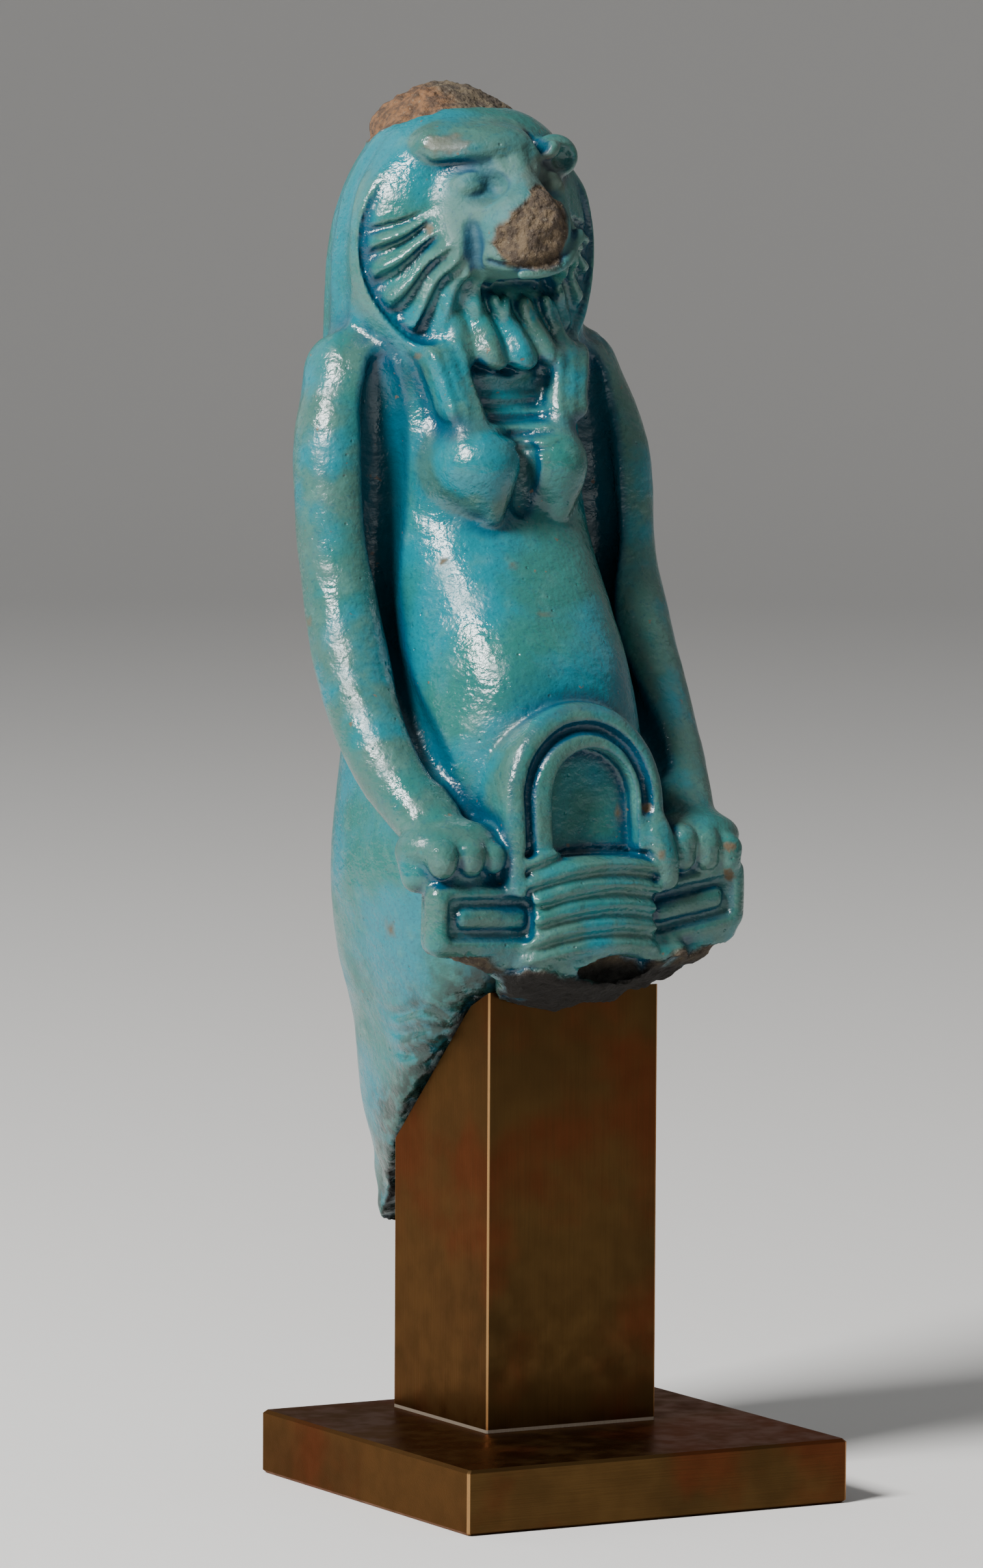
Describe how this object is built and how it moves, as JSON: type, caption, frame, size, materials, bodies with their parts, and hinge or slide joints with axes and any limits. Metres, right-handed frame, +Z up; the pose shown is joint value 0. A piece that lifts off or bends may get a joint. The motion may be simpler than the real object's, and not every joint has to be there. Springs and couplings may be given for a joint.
{
  "type": "mounted faience amulet",
  "caption": "Broken turquoise faience amulet of a lion-headed hippopotamus goddess holding a protection sign, on a square brass post and plinth.",
  "frame": {"origin": "centre of the plinth's underside", "axes": "+Z up, the figure faces -Y, and +X is the viewer's right from the front"},
  "size_m": [0.04, 0.0488, 0.1307],
  "materials": {
    "faience": "glossy turquoise glaze over a pale core, worn and bare where it is broken",
    "brass": "dark satin brass with fine brushed lines and a bright front edge"
  },
  "bodies": {
    "root": {"amulet": "faience", "mount_post": "brass", "mount_plinth": "brass"}
  },
  "joints": []
}
